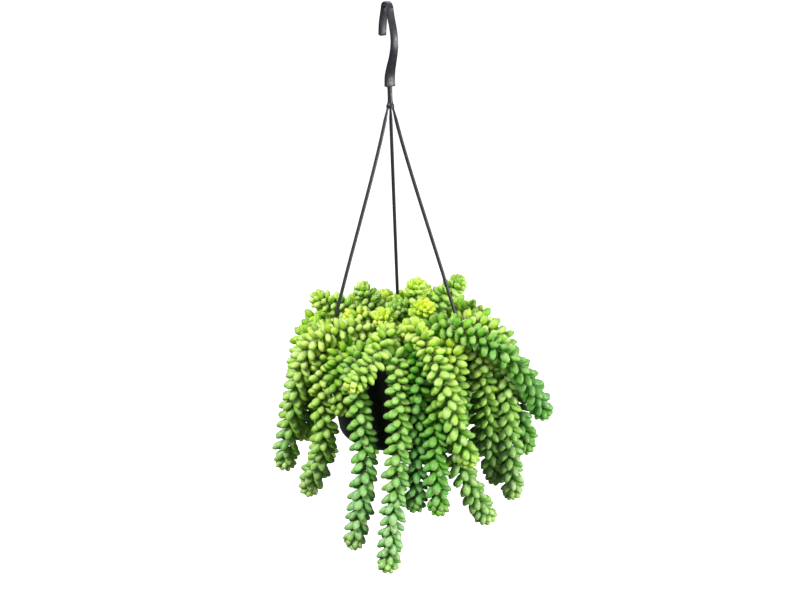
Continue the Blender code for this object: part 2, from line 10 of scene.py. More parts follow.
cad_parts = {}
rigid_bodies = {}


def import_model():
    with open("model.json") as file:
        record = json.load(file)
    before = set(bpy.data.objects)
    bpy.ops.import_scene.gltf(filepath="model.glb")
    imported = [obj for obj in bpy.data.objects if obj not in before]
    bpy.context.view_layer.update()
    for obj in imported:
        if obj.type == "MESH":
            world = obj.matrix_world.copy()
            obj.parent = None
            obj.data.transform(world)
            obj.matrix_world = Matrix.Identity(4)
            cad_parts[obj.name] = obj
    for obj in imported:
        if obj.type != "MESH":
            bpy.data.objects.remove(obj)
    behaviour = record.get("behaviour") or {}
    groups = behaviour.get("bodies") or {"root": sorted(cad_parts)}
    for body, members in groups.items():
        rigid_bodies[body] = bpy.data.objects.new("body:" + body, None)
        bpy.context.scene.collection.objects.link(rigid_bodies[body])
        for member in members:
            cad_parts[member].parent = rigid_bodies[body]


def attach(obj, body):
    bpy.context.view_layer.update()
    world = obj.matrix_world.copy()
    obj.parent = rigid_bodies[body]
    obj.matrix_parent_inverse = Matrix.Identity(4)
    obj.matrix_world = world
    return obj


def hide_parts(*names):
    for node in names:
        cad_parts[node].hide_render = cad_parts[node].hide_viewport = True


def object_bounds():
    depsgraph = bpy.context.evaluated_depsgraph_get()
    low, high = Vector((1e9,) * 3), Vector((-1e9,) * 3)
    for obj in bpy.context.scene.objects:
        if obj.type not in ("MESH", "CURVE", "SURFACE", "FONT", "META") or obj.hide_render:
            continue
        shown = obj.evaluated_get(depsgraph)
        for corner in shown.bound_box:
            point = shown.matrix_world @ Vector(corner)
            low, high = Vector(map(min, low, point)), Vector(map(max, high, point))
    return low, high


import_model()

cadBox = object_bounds()
mm = 0.001
lowCorner, highCorner = (np.array(corner) / mm for corner in cadBox)
chance = np.random.default_rng(8)  # one seed, so each run grows the same plant

# The object's lengths are in millimetres, and its heights start at the point that the hook bears on.
# Angles turn from the front to the right. Floor, lights and camera are placed in metres.


def polar(radius, angle, height):
    turn = math.radians(angle)
    return np.array([radius * math.sin(turn), -radius * math.cos(turn), height])


def unit(vector):
    return vector / np.linalg.norm(vector)


def between(first, last, share):
    return first * (1 - share) + last * share


def unitRows(rows):
    return rows / np.maximum(np.linalg.norm(rows, axis=1), 1e-9)[:, None]


# small helpers for edit mode
def selectNothing():
    bpy.ops.object.select_all(action="DESELECT")


def selectOnly(piece):
    selectNothing()
    piece.select_set(True)
    bpy.context.view_layer.objects.active = piece


def editMode(piece, kind="VERT"):
    selectOnly(piece)
    bpy.ops.object.mode_set(mode="EDIT")
    bpy.ops.mesh.select_mode(type=kind)


def objectMode():
    bpy.ops.object.mode_set(mode="OBJECT")


def selectAll():
    bpy.ops.mesh.select_all(action="SELECT")


def pick(piece, kind, test):
    # selects the vertices ("verts") or faces ("faces") that pass the test, in edit mode
    mesh = bmesh.from_edit_mesh(piece.data)
    bpy.ops.mesh.select_all(action="DESELECT")
    for part in getattr(mesh, kind):
        part.select_set(bool(test(part)))
    mesh.select_flush_mode()
    bmesh.update_edit_mesh(piece.data)


def faceOutwards(piece):
    editMode(piece, "FACE")
    selectAll()
    bpy.ops.mesh.remove_doubles(threshold=1e-6)
    bpy.ops.mesh.normals_make_consistent(inside=False)
    objectMode()


def settle(piece, smoothAngle=35.0):
    # puts the place into the mesh and smooths what is round
    selectOnly(piece)
    bpy.ops.object.transform_apply(location=True, rotation=True, scale=True)
    bpy.ops.object.shade_smooth_by_angle(angle=math.radians(smoothAngle))


def addObject(name, mesh):
    piece = bpy.data.objects.new(name, mesh)
    bpy.context.scene.collection.objects.link(piece)
    return piece


def addModifier(piece, kind, **settings):
    modifier = piece.modifiers.new(kind.lower(), kind)
    for name, value in settings.items():
        setattr(modifier, name, value)
    selectOnly(piece)
    bpy.ops.object.modifier_apply(modifier=modifier.name)


def turnedUp(name, rows, sides):
    # a turned piece: a disc drawn up, out and in through rows of (radius, height), closed at both ends
    selectNothing()
    first, low = rows[0]
    start = (0, 0, low * mm)
    bpy.ops.mesh.primitive_circle_add(vertices=sides, radius=first * mm, fill_type="NGON", location=start)
    piece = bpy.context.active_object
    piece.name = name
    piece.data.name = name
    selectOnly(piece)
    bpy.ops.object.transform_apply(location=True, rotation=True, scale=True)
    editMode(piece, "FACE")
    selectAll()
    radius, height = first, low
    for nextRadius, nextHeight in rows[1:]:
        rise = (nextHeight - height) * mm
        bpy.ops.mesh.extrude_region_move(TRANSFORM_OT_translate={"value": (0, 0, rise)})
        share = nextRadius / radius
        bpy.ops.transform.resize(value=(share, share, 1), center_override=(0, 0, nextHeight * mm))
        radius, height = nextRadius, nextHeight
    objectMode()
    return piece


# material helpers
def startMaterial(name):
    material = bpy.data.materials.new(name)
    material.use_nodes = True
    tree = material.node_tree
    return material, tree, tree.nodes["Principled BSDF"]


def give(tree, socket, value):
    if isinstance(value, bpy.types.NodeSocket):
        tree.links.new(value, socket)
    elif isinstance(value, tuple) and len(value) == 3 and socket.type == "RGBA":
        socket.default_value = (*value, 1.0)
    else:
        socket.default_value = value


def mixColours(tree, factor, first, second, blend="MIX"):
    mix = tree.nodes.new("ShaderNodeMix")
    mix.data_type = "RGBA"
    mix.blend_type = blend
    give(tree, mix.inputs[0], factor)
    give(tree, mix.inputs[6], first)
    give(tree, mix.inputs[7], second)
    return mix.outputs[2]


def rampOf(tree, source, stops):
    ramp = tree.nodes.new("ShaderNodeValToRGB")
    while len(ramp.color_ramp.elements) < len(stops):
        ramp.color_ramp.elements.new(0.5)
    for element, (place, colour) in zip(ramp.color_ramp.elements, stops):
        element.position = place
        element.color = (*colour, 1.0)
    tree.links.new(source, ramp.inputs[0])
    return ramp.outputs[0]


def remap(tree, source, low, high, toLow=0.0, toHigh=1.0):
    node = tree.nodes.new("ShaderNodeMapRange")
    node.interpolation_type = "SMOOTHSTEP"
    tree.links.new(source, node.inputs[0])
    for index, value in enumerate((low, high, toLow, toHigh)):
        node.inputs[index + 1].default_value = value
    return node.outputs[0]


def sums(tree, first, second, how="MULTIPLY"):
    node = tree.nodes.new("ShaderNodeMath")
    node.operation = how
    give(tree, node.inputs[0], first)
    give(tree, node.inputs[1], second)
    return node.outputs[0]


def grainOf(tree, scale, detail=3.0, rough=0.5, stretch=None):
    place = tree.nodes.new("ShaderNodeTexCoord").outputs["Object"]
    if stretch:
        mapping = tree.nodes.new("ShaderNodeMapping")
        mapping.inputs["Scale"].default_value = stretch
        tree.links.new(place, mapping.inputs[0])
        place = mapping.outputs[0]
    grain = tree.nodes.new("ShaderNodeTexNoise")
    grain.inputs["Scale"].default_value = scale
    grain.inputs["Detail"].default_value = detail
    grain.inputs["Roughness"].default_value = rough
    tree.links.new(place, grain.inputs["Vector"])
    return grain.outputs[0]


def addBump(tree, shader, height, strength, distance):
    bump = tree.nodes.new("ShaderNodeBump")
    bump.inputs["Strength"].default_value = strength
    bump.inputs["Distance"].default_value = distance
    tree.links.new(height, bump.inputs["Height"])
    tree.links.new(bump.outputs[0], shader.inputs["Normal"])


# the look of the plant
leafLook = {
    # body colours from the crown and the young tips down to the lowest leaves
    "bodies": (
        (0.0, (0.74, 0.70, 0.012)), (0.25, (0.43, 0.60, 0.012)), (0.5, (0.21, 0.44, 0.015)),
        (0.75, (0.10, 0.32, 0.02)), (1.0, (0.11, 0.34, 0.08)),
    ),
    # painted shade: the colour is darkened and made greener as a leaf's brightness falls, from its random
    # tone and from its painted underside
    "toneAndPaintedShade": ((0.0, (0.09, 0.40, 0.07)), (0.5, (0.76, 0.97, 0.68)), (1.0, (1.0, 1.0, 1.0))),
    "warmBloom": (0.78, 0.80, 0.34), "coolBloom": (0.52, 0.66, 0.40),
    "base": (0.045, 0.22, 0.003), "end": (0.15, 0.28, 0.08), "blush": (0.30, 0.16, 0.10),
    "gloss": 0.30, "dull": 0.46, "shine": 0.30,
    "glow": 0.25, "glowDepth": 0.003, "glowReach": (0.8, 1.0, 0.25),
    "cloudScale": 38.0, "cloudSwing": 0.09, "rubScale": 240.0, "grainScale": 700.0,
}


def leafSkin():
    # leafTone on the mesh: red runs from yellow to blue-green, green from dark to bright with painted light
    # above and painted shade below, blue along the leaf, and alpha is how much its end blushes; the wax
    # attribute is how pale its waxy coat is, painted paler on the upper side
    look = leafLook
    material, tree, shader = startMaterial("plump leaf skin")
    tone = tree.nodes.new("ShaderNodeAttribute")
    tone.attribute_name = "leafTone"
    parts = tree.nodes.new("ShaderNodeSeparateColor")
    tree.links.new(tone.outputs["Color"], parts.inputs[0])
    place, bright, along = parts.outputs
    swing = look["cloudSwing"]
    cloud = remap(tree, grainOf(tree, look["cloudScale"], 2.0), 0.3, 0.7, -swing, swing)
    body = rampOf(tree, sums(tree, place, cloud, "ADD"), look["bodies"])
    # painted shade: darker and greener where the leaf's brightness is low
    body = mixColours(tree, 1.0, body, rampOf(tree, bright, look["toneAndPaintedShade"]), "MULTIPLY")
    # painted shade: darker green towards the stalk, where the leaves crowd the stem
    body = mixColours(tree, remap(tree, along, 0.0, 0.6, 0.85, 0.0), body, look["base"])
    # the leaf's end turns greyer olive-green, partly its own colour and partly painted shade
    body = mixColours(tree, remap(tree, along, 0.8, 1.02, 0.0, 0.4), body, look["end"])
    wax = tree.nodes.new("ShaderNodeAttribute")
    wax.attribute_name = "waxAndPaintedLight"
    # the waxy coat is rubbed off in places
    rubbed = remap(tree, grainOf(tree, look["rubScale"], 4.0, 0.6), 0.34, 0.66, 0.35, 1.0)
    bloom = mixColours(tree, place, look["warmBloom"], look["coolBloom"])
    # the pale waxy coat where it isn't rubbed off, with painted light making it paler on the upper side
    body = mixColours(tree, sums(tree, rubbed, wax.outputs["Fac"]), body, bloom)
    blush = sums(tree, tone.outputs["Alpha"], remap(tree, along, 0.72, 0.98))
    body = mixColours(tree, blush, body, look["blush"])
    tree.links.new(body, shader.inputs["Base Color"])
    rough = remap(tree, rubbed, 0.0, 1.0, look["gloss"], look["dull"])
    tree.links.new(rough, shader.inputs["Roughness"])
    shader.inputs["Subsurface Weight"].default_value = look["glow"]
    shader.inputs["Subsurface Radius"].default_value = look["glowReach"]
    shader.inputs["Subsurface Scale"].default_value = look["glowDepth"]
    shader.inputs["Specular IOR Level"].default_value = look["shine"]
    addBump(tree, shader, grainOf(tree, look["grainScale"], 3.0), 0.15, 0.0004)
    return material


stalkLook = {
    "colours": ((0.3, (0.10, 0.20, 0.03)), (0.52, (0.22, 0.28, 0.08)), (0.72, (0.25, 0.17, 0.08))),
    "scarScale": 170.0, "grainScale": 420.0, "roughness": 0.62,
}


def stalkSkin():
    material, tree, shader = startMaterial("pale stalk skin")
    scars = grainOf(tree, stalkLook["scarScale"], 3.0, 0.6)
    tree.links.new(rampOf(tree, scars, stalkLook["colours"]), shader.inputs["Base Color"])
    shader.inputs["Roughness"].default_value = stalkLook["roughness"]
    addBump(tree, shader, grainOf(tree, stalkLook["grainScale"], 4.0), 0.5, 0.0005)
    return material


plasticLook = {
    "dustTint": (0.03, 0.03, 0.026), "runDown": (1.0, 1.0, 0.16), "smoother": 0.07, "rougher": 0.16,
    "shine": 0.45, "grainScale": 1500.0,
}


def mouldedPlastic(name, look):
    # black plastic with a little dust that has run down it, and fine scuffs in the gloss
    material, tree, shader = startMaterial(name)
    runs = grainOf(tree, look["streaks"], 5.0, 0.62, plasticLook["runDown"])
    dust = sums(tree, remap(tree, runs, 0.46, 0.78), look["dust"])
    dusty = tuple(part + more for part, more in zip(look["colour"], plasticLook["dustTint"]))
    colour = mixColours(tree, dust, look["colour"], dusty)
    tree.links.new(colour, shader.inputs["Base Color"])
    rough = look["roughness"]
    scuffs = grainOf(tree, look["streaks"] * 5.0, 4.0, 0.7)
    low, high = rough - plasticLook["smoother"], rough + plasticLook["rougher"]
    tree.links.new(remap(tree, scuffs, 0.35, 0.75, low, high), shader.inputs["Roughness"])
    shader.inputs["Specular IOR Level"].default_value = plasticLook["shine"]
    addBump(tree, shader, grainOf(tree, plasticLook["grainScale"], 2.0), 0.1, 0.0002)
    return material


soilLook = {
    "colours": (
        (0.3, (0.012, 0.007, 0.004)), (0.5, (0.045, 0.025, 0.013)), (0.62, (0.11, 0.062, 0.03)),
        (0.8, (0.24, 0.16, 0.09)),
    ),
    "clodScale": 240.0, "roughness": 0.95,
}


def crumblySoil():
    material, tree, shader = startMaterial("crumbly potting soil")
    clods = grainOf(tree, soilLook["clodScale"], 6.0, 0.7)
    tree.links.new(rampOf(tree, clods, soilLook["colours"]), shader.inputs["Base Color"])
    shader.inputs["Roughness"].default_value = soilLook["roughness"]
    shader.inputs["Specular IOR Level"].default_value = 0.2
    addBump(tree, shader, clods, 0.9, 0.0015)
    return material


# hanging pot
potShape = {
    "rimTop": -352.0, "height": 103.5, "rimRadius": 87.5, "rimThick": 3.0, "rimSkirt": 10.0,
    "wallTop": 79.0, "wallFoot": 65.0, "wall": 2.2, "footRadius": 54.0, "cornerRise": 11.0, "sides": 96,
    "drainHoles": 6, "drainRing": 34.0, "drainRadius": 4.5, "strandHole": 2.5, "holeSides": 20,
    "colour": (0.0085, 0.0105, 0.0095), "roughness": 0.34, "streaks": 30.0, "dust": 0.3,
}
rimTop = potShape["rimTop"]


def potWallRadius(height):
    foot = rimTop - potShape["height"] + potShape["cornerRise"]
    share = np.clip((height - foot) / (rimTop - foot), 0.0, 1.0)
    return potShape["wallFoot"] + (potShape["wallTop"] - potShape["wallFoot"]) * share


def makePot(plastic):
    pot = potShape
    top = rimTop
    base = top - pot["height"]
    foot = base + pot["cornerRise"]
    wall = pot["wall"]
    footEdge, rimEdge = pot["footRadius"] + 1.0, pot["rimRadius"]
    rows = [(pot["footRadius"] - 4.0, base + 1.2), (pot["footRadius"] - 2.6, base), (footEdge, base)]
    for turn in range(15, 91, 15):  # the rounded corner between foot and wall
        angle = math.radians(turn)
        out = (pot["wallFoot"] - footEdge) * math.sin(angle)
        rows.append((footEdge + out, base + pot["cornerRise"] * (1 - math.cos(angle))))
    for step in range(1, 8):
        height = foot + (top - pot["rimSkirt"] - foot) * step / 7
        rows.append((potWallRadius(height), height))
    under, outer = top - pot["rimThick"], potWallRadius(top)
    inner = outer - wall
    rows += [
        (potWallRadius(top - 5.5) + 0.1, top - 5.5), (outer + 1.2, under - 0.6), (outer + 3.4, under),
        # the rolled rim, outside and in
        (rimEdge - 1.4, under), (rimEdge - 0.4, top - 2.6), (rimEdge, top - 1.6), (rimEdge - 0.4, top - 0.5),
        (rimEdge - 1.4, top), (inner + 1.6, top), (inner + 0.4, top - 0.4), (inner, top - 1.6),
        # down the inside to the floor of the pot
        (pot["wallFoot"] - wall, foot + 1.0), (pot["wallFoot"] - wall - 4.0, base + wall + 3.4),
        (pot["footRadius"] - 2.0, base + wall),
    ]
    piece = turnedUp("hangingPot", rows, pot["sides"])
    holes = []
    for number in range(pot["drainHoles"]):
        drain = polar(pot["drainRing"], 360 / pot["drainHoles"] * number + 30, base + 1.0)
        holes.append((drain, pot["drainRadius"], 12.0))
    for angle in hanger["angles"].values():  # one hole in the rim for each strand
        holes.append((polar(hanger["ring"], angle, top - 1.5), pot["strandHole"], 9.0))
    for place, radius, depth in holes:
        selectNothing()
        bpy.ops.mesh.primitive_cylinder_add(
            vertices=pot["holeSides"], radius=radius * mm, depth=depth * mm, location=tuple(place * mm))
        cutter = bpy.context.active_object
        addModifier(piece, "BOOLEAN", object=cutter, operation="DIFFERENCE", solver="EXACT")
        bpy.data.objects.remove(cutter)
    faceOutwards(piece)
    settle(piece, 32.0)
    piece.data.materials.append(plastic)
    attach(piece, "root")
    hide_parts("pot")


# potting soil
soilShape = {
    "drop": 13.0, "clearance": 0.7, "insets": 22, "clodScale": 130.0, "bump": 2.0, "sink": 0.8, "sides": 64,
    "crumbs": 240, "crumbSizes": (0.7, 2.1), "stemDepth": 9.0,
}
soilTop = rimTop - soilShape["drop"]


def makeSoil(earth):
    soil = soilShape
    top = soilTop
    base = rimTop - potShape["height"]
    side = potShape["wall"] + soil["clearance"]
    foot = base + potShape["cornerRise"] + 1.0
    edge = potWallRadius(top) - side
    rows = [
        (potShape["footRadius"] - 3.0, base + potShape["wall"] + 0.6),
        (potShape["wallFoot"] - side - 4.0, base + potShape["wall"] + 4.2),
        (potShape["wallFoot"] - side, foot + 0.6), (edge, top - 1.5), (edge - 2.5, top),
    ]
    piece = turnedUp("pottingSoil", rows, soil["sides"])
    editMode(piece, "FACE")
    level = (top - 0.6) * mm
    pick(piece, "faces", lambda face: face.normal.z > 0.9 and face.calc_center_median().z > level)
    ring = (edge - 2.5) / soil["insets"] * 0.96
    for number in range(soil["insets"]):
        bpy.ops.mesh.inset(thickness=ring * mm, depth=0)
    objectMode()
    for vertex in piece.data.vertices:
        if vertex.co.z > (top - 1.0) * mm:
            clod = noise.fractal(vertex.co * soil["clodScale"], 0.9, 2.1, 4)
            vertex.co.z += (clod * soil["bump"] - soil["sink"]) * mm
    grains = [piece]
    for number in range(soil["crumbs"]):
        spread = math.sqrt(chance.uniform(0.0, 1.0)) * (edge - 5.0)
        x, y, z = polar(spread, chance.uniform(-180, 180), top - 0.2 + chance.uniform(-0.4, 0.8)) * mm
        if number == 0:
            selectNothing()
            bpy.ops.mesh.primitive_ico_sphere_add(subdivisions=1, radius=1.0, location=(0, 0, 0))
            crumb = bpy.context.active_object
            master = crumb.data
        else:
            crumb = addObject("crumb", master.copy())
        size = chance.uniform(*soil["crumbSizes"]) * mm
        crumb.location = (x, y, z)
        crumb.rotation_euler = chance.uniform(0.0, 3.0, 3)
        crumb.scale = size * chance.uniform(0.6, 1.2, 3)
        grains.append(crumb)
    selectNothing()
    for grain in grains:
        grain.select_set(True)
    bpy.context.view_layer.objects.active = piece
    bpy.ops.object.join()
    settle(piece, 20.0)
    piece.data.materials.append(earth)
    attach(piece, "root")
    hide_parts("soil")


# hanger: hook, neck and three strands
hanger = {
    "angles": {"strand_left": -61.5, "strand_right": 59.5, "strand_back": 178.5}, "ring": 83.6,
    "strandRadius": 1.8, "strandSides": 16, "endRadius": 1.2, "knob": 3.0,
    "straightTop": 6.0, "straightFoot": 12.0,
    "bow": [(0.14, 1.4), (0.3, 1.7), (0.5, 1.0), (0.68, 0.3)],  # share of the way down, bow to the middle
    "hubTop": -92.0, "hubBottom": -102.0, "hubRadius": 4.1, "socketRing": 2.1, "socketDepth": 3.2,
    "neckRadius": 2.5, "pegRadius": 1.3, "pegRise": 5.7, "neckSides": 40, "gap": 0.3,
    "colour": (0.015, 0.016, 0.021), "roughness": 0.38, "streaks": 60.0, "dust": 0.4,
}
hookShape = {
    "turn": -62.0, "thick": 4.6, "bend": 5.8, "bendShift": -1.0, "bendWidth": 6.8, "foot": -80.0,
    "rib": 1.1, "groove": 0.9, "bevel": 0.35,
    # centre line below the bend: sideways, height, width of the strap
    "shortLeg": [(-13.0, -30.5, 7.4), (-11.8, -22.0, 7.6), (-10.0, -14.0, 7.4)],
    "longLeg": [
        (7.2, -12.0, 6.8), (10.4, -21.0, 6.8), (12.3, -31.0, 7.0), (11.6, -40.0, 7.4), (8.0, -51.0, 8.0),
        (3.6, -61.0, 9.2), (0.8, -70.0, 10.4), (0.2, -80.0, 10.8),
    ],
}


def strandTop(angle):
    return polar(hanger["socketRing"], angle, hanger["hubBottom"] + hanger["socketDepth"] - hanger["gap"])


def strandFoot(angle):
    return polar(hanger["ring"], angle, rimTop + 2.0)


def softLine(rows, parts=4):
    # rounds a row of points off with points between them
    rows = np.asarray(rows, float)
    ends = np.vstack([2 * rows[0] - rows[1], rows, 2 * rows[-1] - rows[-2]])
    line = []
    for index in range(1, len(ends) - 2):
        before, here, after, later = ends[index - 1 : index + 3]
        for share in np.arange(parts) / parts:
            bend = (2 * before - 5 * here + 4 * after - later) * share**2
            swing = (3 * here - before - 3 * after + later) * share**3
            line.append(0.5 * (2 * here + (after - before) * share + bend + swing))
    line.append(rows[-1])
    return np.array(line)


def skinned(name, sections):
    # a closed skin over a row of outlines
    made = bmesh.new()
    rings = [[made.verts.new(Vector(point) * mm) for point in section] for section in sections]
    made.faces.new(reversed(rings[0]))
    made.faces.new(rings[-1])
    count = len(rings[0])
    for low, high in zip(rings, rings[1:]):
        for side in range(count):
            made.faces.new((low[side], low[(side + 1) % count], high[(side + 1) % count], high[side]))
    bmesh.ops.recalc_face_normals(made, faces=made.faces)
    mesh = bpy.data.meshes.new(name)
    made.to_mesh(mesh)
    made.free()
    return addObject(name, mesh)


def finishHanger(piece, node, plastic):
    faceOutwards(piece)
    settle(piece, 38.0)
    piece.data.materials.append(plastic)
    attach(piece, "root")
    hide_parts(node)


def makeHook(plastic):
    shape = hookShape
    arc = []
    for turn in range(180, -1, -10):
        angle = math.radians(turn)
        height = shape["thick"] / 2 - shape["bend"] + shape["bend"] * math.sin(angle)
        arc.append((shape["bend"] * math.cos(angle) + shape["bendShift"], height, shape["bendWidth"]))
    shortLine = softLine(shape["shortLeg"] + arc[:1], 3)[:-1]
    line = np.vstack([shortLine, arc[:-1], softLine(arc[-1:] + shape["longLeg"], 4)])
    turn = math.radians(shape["turn"])
    side = np.array([math.cos(turn), math.sin(turn), 0.0])
    face = np.array([math.sin(turn), -math.cos(turn), 0.0])
    path = side * line[:, :1] + np.array([0.0, 0.0, 1.0]) * line[:, 1:2]
    sections = []
    for index, place in enumerate(path):
        along = unit(path[min(index + 1, len(path) - 1)] - path[max(index - 1, 0)])
        out = np.cross(along, face)
        half, deep, rib, groove = shape["thick"] / 2, line[index, 2] / 2, shape["rib"], shape["groove"]
        # a rib on the strap's edge and the groove beside it, then mirrored to the other corners
        edge = [
            (-half, -deep + rib * 0.8), (-half + 0.25, -deep + 0.25), (-half + rib * 0.7, -deep),
            (-half + rib * 1.15, -deep + 0.2), (-half + rib * 1.35, -deep + groove),
        ]
        edge += [(-a, b) for a, b in reversed(edge)]
        outline = edge + [(a, -b) for a, b in reversed(edge)]
        sections.append([place + out * a + face * b for a, b in outline])
    piece = skinned("hook", sections)
    width, limit = shape["bevel"] * mm, math.radians(60)
    addModifier(piece, "BEVEL", width=width, segments=2, limit_method="ANGLE", angle_limit=limit)
    finishHanger(piece, "hook", plastic)


def makeNeck(plastic):
    low, high, wide, thin = hanger["hubBottom"], hanger["hubTop"], hanger["hubRadius"], hanger["neckRadius"]
    deep = hanger["socketDepth"]
    rows = [(wide - 0.6, low), (wide - 0.2, low + 0.15), (wide, low + 0.6), (wide, low + deep)]
    for turn in range(15, 91, 15):  # the hub runs softly into the neck
        angle = math.radians(turn)
        rise = high - low - deep
        rows.append((thin + (wide - thin) * (1 - math.sin(angle)), high - rise * math.cos(angle)))
    foot, peg = hookShape["foot"], hanger["pegRadius"]
    rows += [(thin, foot - hanger["gap"]), (peg, foot - hanger["gap"]), (peg, foot + hanger["pegRise"])]
    piece = turnedUp("hangerNeck", rows, hanger["neckSides"])
    finishHanger(piece, "hanger_neck", plastic)


def makeStrand(node, angle, plastic):
    top, foot = strandTop(angle), strandFoot(angle)
    slant = unit(foot - top)
    ring, radius, knob = hanger["ring"], hanger["strandRadius"], hanger["knob"]
    under = rimTop - potShape["rimThick"] - hanger["gap"]
    outward = polar(1.0, angle, 0.0)
    start, end = top + slant * hanger["straightTop"], foot - slant * hanger["straightFoot"]
    middle = [top + (foot - top) * share - outward * bow for share, bow in hanger["bow"]]
    stations = [(top, hanger["endRadius"]), (start, hanger["endRadius"])]
    stations += [(place, radius) for place in softLine([start, *middle, end], 3)[1:-1]]
    stations += [(end, radius), (foot - slant * 4.0, radius), (foot - slant * 1.2, radius)]
    stations.append((polar(ring, angle, rimTop + 0.8), radius))
    # through the rim, then the knob under it: how far down, how wide
    knobRows = [(0.0, radius), (0.15, knob * 0.94), (0.9, knob), (2.0, knob * 0.94), (3.2, radius)]
    knobRows.append((3.9, radius * 0.7))
    stations += [(polar(ring, angle, under - down), wide) for down, wide in knobRows]
    beside = polar(1.0, angle + 90.0, 0.0)
    sides = hanger["strandSides"]
    turns = [2 * math.pi * (number + 0.5) / sides for number in range(sides)]
    sections = []
    for index, (place, wide) in enumerate(stations):
        near = stations[max(index - 1, 0)][0]
        far = stations[min(index + 1, len(stations) - 1)][0]
        across = np.cross(unit(far - near), beside)
        ways = [math.cos(turn) * across + math.sin(turn) * beside for turn in turns]
        sections.append([place + wide * way for way in ways])
    piece = skinned("strand" + node.split("_")[1].capitalize(), sections)
    finishHanger(piece, node, plastic)


# the plant: where its stems run
stemShape = {
    "step": 12.0, "bare": 20.0, "spacing": 21.0,
    # room beside the pot's wall and its rim, how far below the rim that holds, and room over the rim
    "wallClear": 15.0, "rimClear": 11.5, "rimReach": 24.0, "overRim": 14.5, "overFrom": 66.0, "overTo": 98.0,
    # how a round moves the stems: apart, at most so far, back to where they were, and to a softer bend
    "rounds": 90, "push": 0.3, "most": 4.0, "home": 0.04, "ease": 0.2,
    # the way out of the soil, over the crest and down past the rim
    "hangingRise": 4.0, "crownRise": 6.0, "crestOut": 6.0, "shoulderShare": 0.55, "shoulderDrop": 10.0,
}
# root radius, angle and height over the rim of the crest, radius and angle half-way down,
# and radius, angle and drop below the rim of the tip
hangingStems = {
    "stem_front_1": (60, -31, 17, 99, -21.5, 96, -32.5, 203),
    "stem_front_2": (33, -5, 42, 106, -18, 112, -26, 11),
    "stem_front_3": (60, 7, 17, 98, -2.5, 96, -10, 225),
    "stem_front_4": (49, 14, 17, 88, 13, 86, 9.5, 160),
    "stem_front_5": (60, 23, 18, 101, 20, 100, 23.5, 161),
    "stem_front_6": (33, 14, 44, 116, 27, 119, 37, 103),
    "stem_front_7": (60, 37, 17, 99, 34, 106, 61.5, 191),
    "stem_front_8": (50, -41, 12, 96, -42, 94, -44, 54),
    "stem_left_1": (60, -51, 17, 99, -49, 103, -79, 166),
    "stem_left_2": (40, -71, 28, 104, -79, 112, -86, 96),
    "stem_left_3": (30, -42, 38, 110, -71, 127, -80, 136),
    "stem_left_4": (60, -80, 17, 98, -90, 105, -96, 118),
    "stem_right_1": (60, 52, 18, 100, 66, 105, 84, 164),
    "stem_right_2": (40, 72, 34, 117, 71, 124, 77, 176),
    "stem_right_3": (60, 86, 18, 101, 93, 112, 98, 172),
    "stem_right_4": (38, 92, 16, 112, 90, 140, 92, 138),
    "stem_right_5": (24, 36, 45, 134, 71, 157, 84, 85),
    "stem_back_1": (60, -104, 16, 98, -114, 99, -124, 164),
    "stem_back_2": (60, -128, 15, 98, -136, 98, -143, 124),
    "stem_back_3": (60, -152, 14, 98, -157, 98, -162, 176),
    "stem_back_4": (60, 171, 14, 98, 175, 98, 178, 139),
    "stem_back_5": (60, 147, 14, 98, 152, 98, 157, 186),
    "stem_back_6": (60, 124, 11, 98, 131, 98, 137, 124),
    "stem_back_7": (60, 102, 16, 98, 110, 100, 117, 158),
    "stem_back_8": (36, -98, 17, 102, -104, 111, -108, 70),
    "stem_back_9": (36, -130, 12, 112, -132, 121, -134, 100),
    "stem_back_10": (36, -163, 24, 116, -160, 119, -158, 66),
    "stem_back_11": (36, 163, 24, 116, 165, 121, 167, 94),
    "stem_back_12": (36, 132, 11, 112, 136, 117, 140, 142),
    "stem_back_13": (36, 112, 5, 106, 110, 117, 114, 86),
}
# root radius and angle, then radius, angle and height over the rim of the middle and of the tip
crownStems = {
    "crown_left": (22, -84, 50, -84, 45, 90, -88, 50),
    "crown_back_left": (15, -135, 24, -125, 41, 45, -111, 57),
    "crown_front_left": (18, -40, 40, -44, 42, 72, -47, 34),
    "crown_front": (14, -14, 30, -12, 42, 58, -15, 42),
    "crown_front_right": (18, 64, 38, 44, 44, 64, 34, 46),
    "crown_top": (3, 100, 12, 80, 40, 27, 82, 69),
    "crown_right": (22, 94, 44, 96, 47, 74, 96, 64),
    "crown_back_right": (20, 140, 36, 138, 32, 66, 134, 30),
    "crown_back": (20, -172, 34, -170, 30, 62, -166, 28),
    "crown_middle": (9, -100, 12, -40, 34, 28, 10, 46),
}


def hangingWay(row):
    rootRadius, angle, crest, reach, midAngle, tipRadius, tipAngle, drop = row
    crestRadius = 0.5 * (rootRadius + reach) + stemShape["crestOut"]
    shoulder = rimTop + crest * stemShape["shoulderShare"] - stemShape["shoulderDrop"]
    return [
        polar(rootRadius, angle, soilTop - soilShape["stemDepth"] + 1.0),
        polar(rootRadius, angle, soilTop + stemShape["hangingRise"]),
        polar(rootRadius * 0.72 + crestRadius * 0.28, angle, soilTop + 0.72 * (crest + soilShape["drop"])),
        polar(crestRadius, angle, rimTop + crest),
        polar(reach, 0.5 * (angle + midAngle), shoulder),
        polar(0.5 * (reach + tipRadius), midAngle, 0.5 * (shoulder + rimTop - drop)),
        polar(tipRadius, tipAngle, rimTop - drop),
    ]


def crownWay(row):
    rootRadius, rootAngle, midRadius, midAngle, midRise, tipRadius, tipAngle, tipRise = row
    return [
        polar(rootRadius, rootAngle, soilTop - soilShape["stemDepth"] + 1.0),
        polar(rootRadius, rootAngle, soilTop + stemShape["crownRise"]),
        polar(midRadius, midAngle, rimTop + midRise),
        polar(tipRadius, tipAngle, rimTop + tipRise),
    ]


